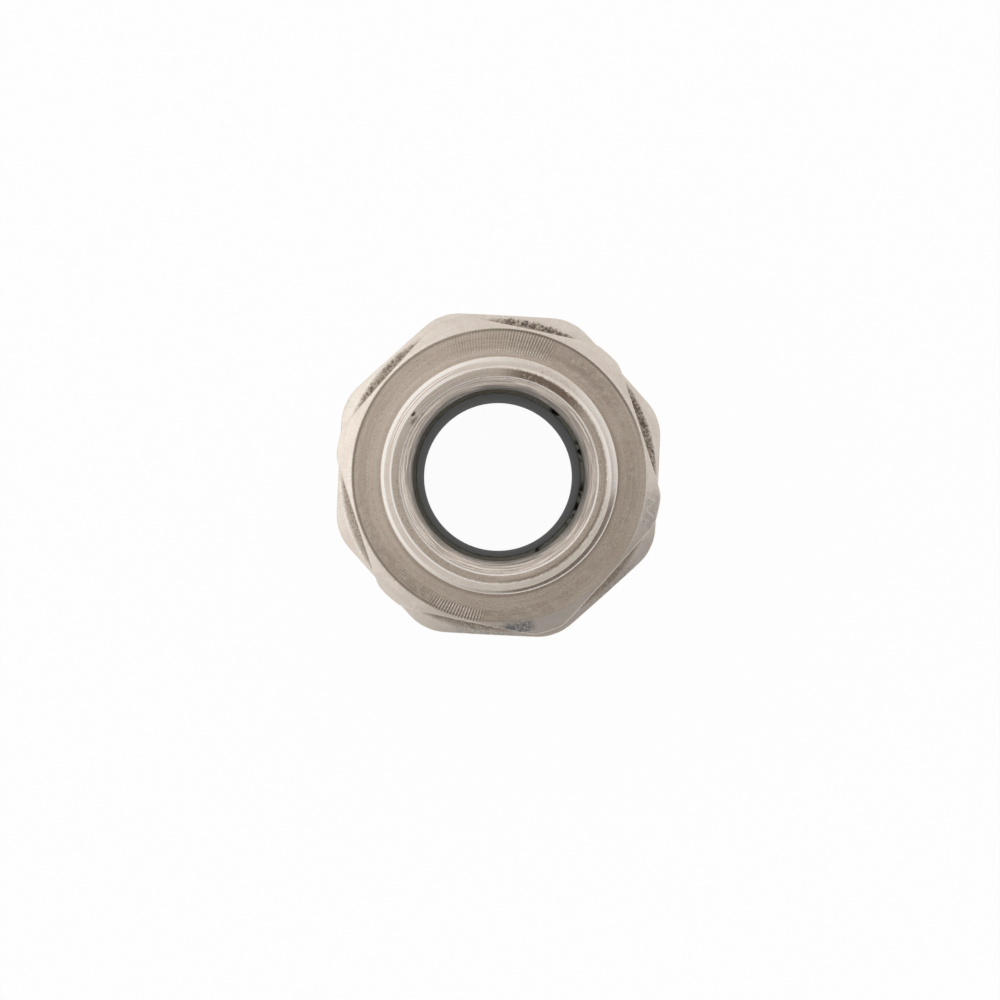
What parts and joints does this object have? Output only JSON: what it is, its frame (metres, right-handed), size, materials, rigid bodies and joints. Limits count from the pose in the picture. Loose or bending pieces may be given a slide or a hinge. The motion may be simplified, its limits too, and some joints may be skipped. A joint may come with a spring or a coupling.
{
  "type": "pipe union",
  "caption": "Nickel-plated metal pipe union with a male threaded end and hexagon, an octagonal union nut, a flat gasket and a plastic spigot tailpiece, bored straight through.",
  "frame": {"origin": "middle of the tailpiece's lower end face, on the bore's axis", "axes": "+Z along the bore towards the male pipe thread; the hexagon has a flat 18 degrees from +X"},
  "size_m": [0.0398, 0.0398, 0.064],
  "materials": {
    "body_nickel": "nickel-plated brass, turned and milled, satin with tool marks",
    "nut_nickel": "nickel-plated brass, turned and milled, satin",
    "gasket_rubber": "grey rubber, matt",
    "tail_plastic": "dark grey moulded plastic, matt"
  },
  "bodies": {
    "tail": {"plastic_tailpiece": "tail_plastic", "flat_gasket": "gasket_rubber"},
    "nut": {"union_nut": "nut_nickel"},
    "body": {"male_body": "body_nickel"}
  },
  "joints": [
    {"name": "nut_turn", "type": "hinge", "parent": "tail", "child": "nut", "pos_m": [0, 0, 0.0255], "axis": [0, 0, -1], "range_deg": [0, 1020]},
    {"name": "body_lift", "type": "slide", "parent": "tail", "child": "body", "axis": [0, 0, 1], "range_m": [0, 0.0066]}
  ],
  "couplings": [
    {"joint": "body_lift", "follows": "nut_turn", "m_per_rad": 0.00036749}
  ]
}
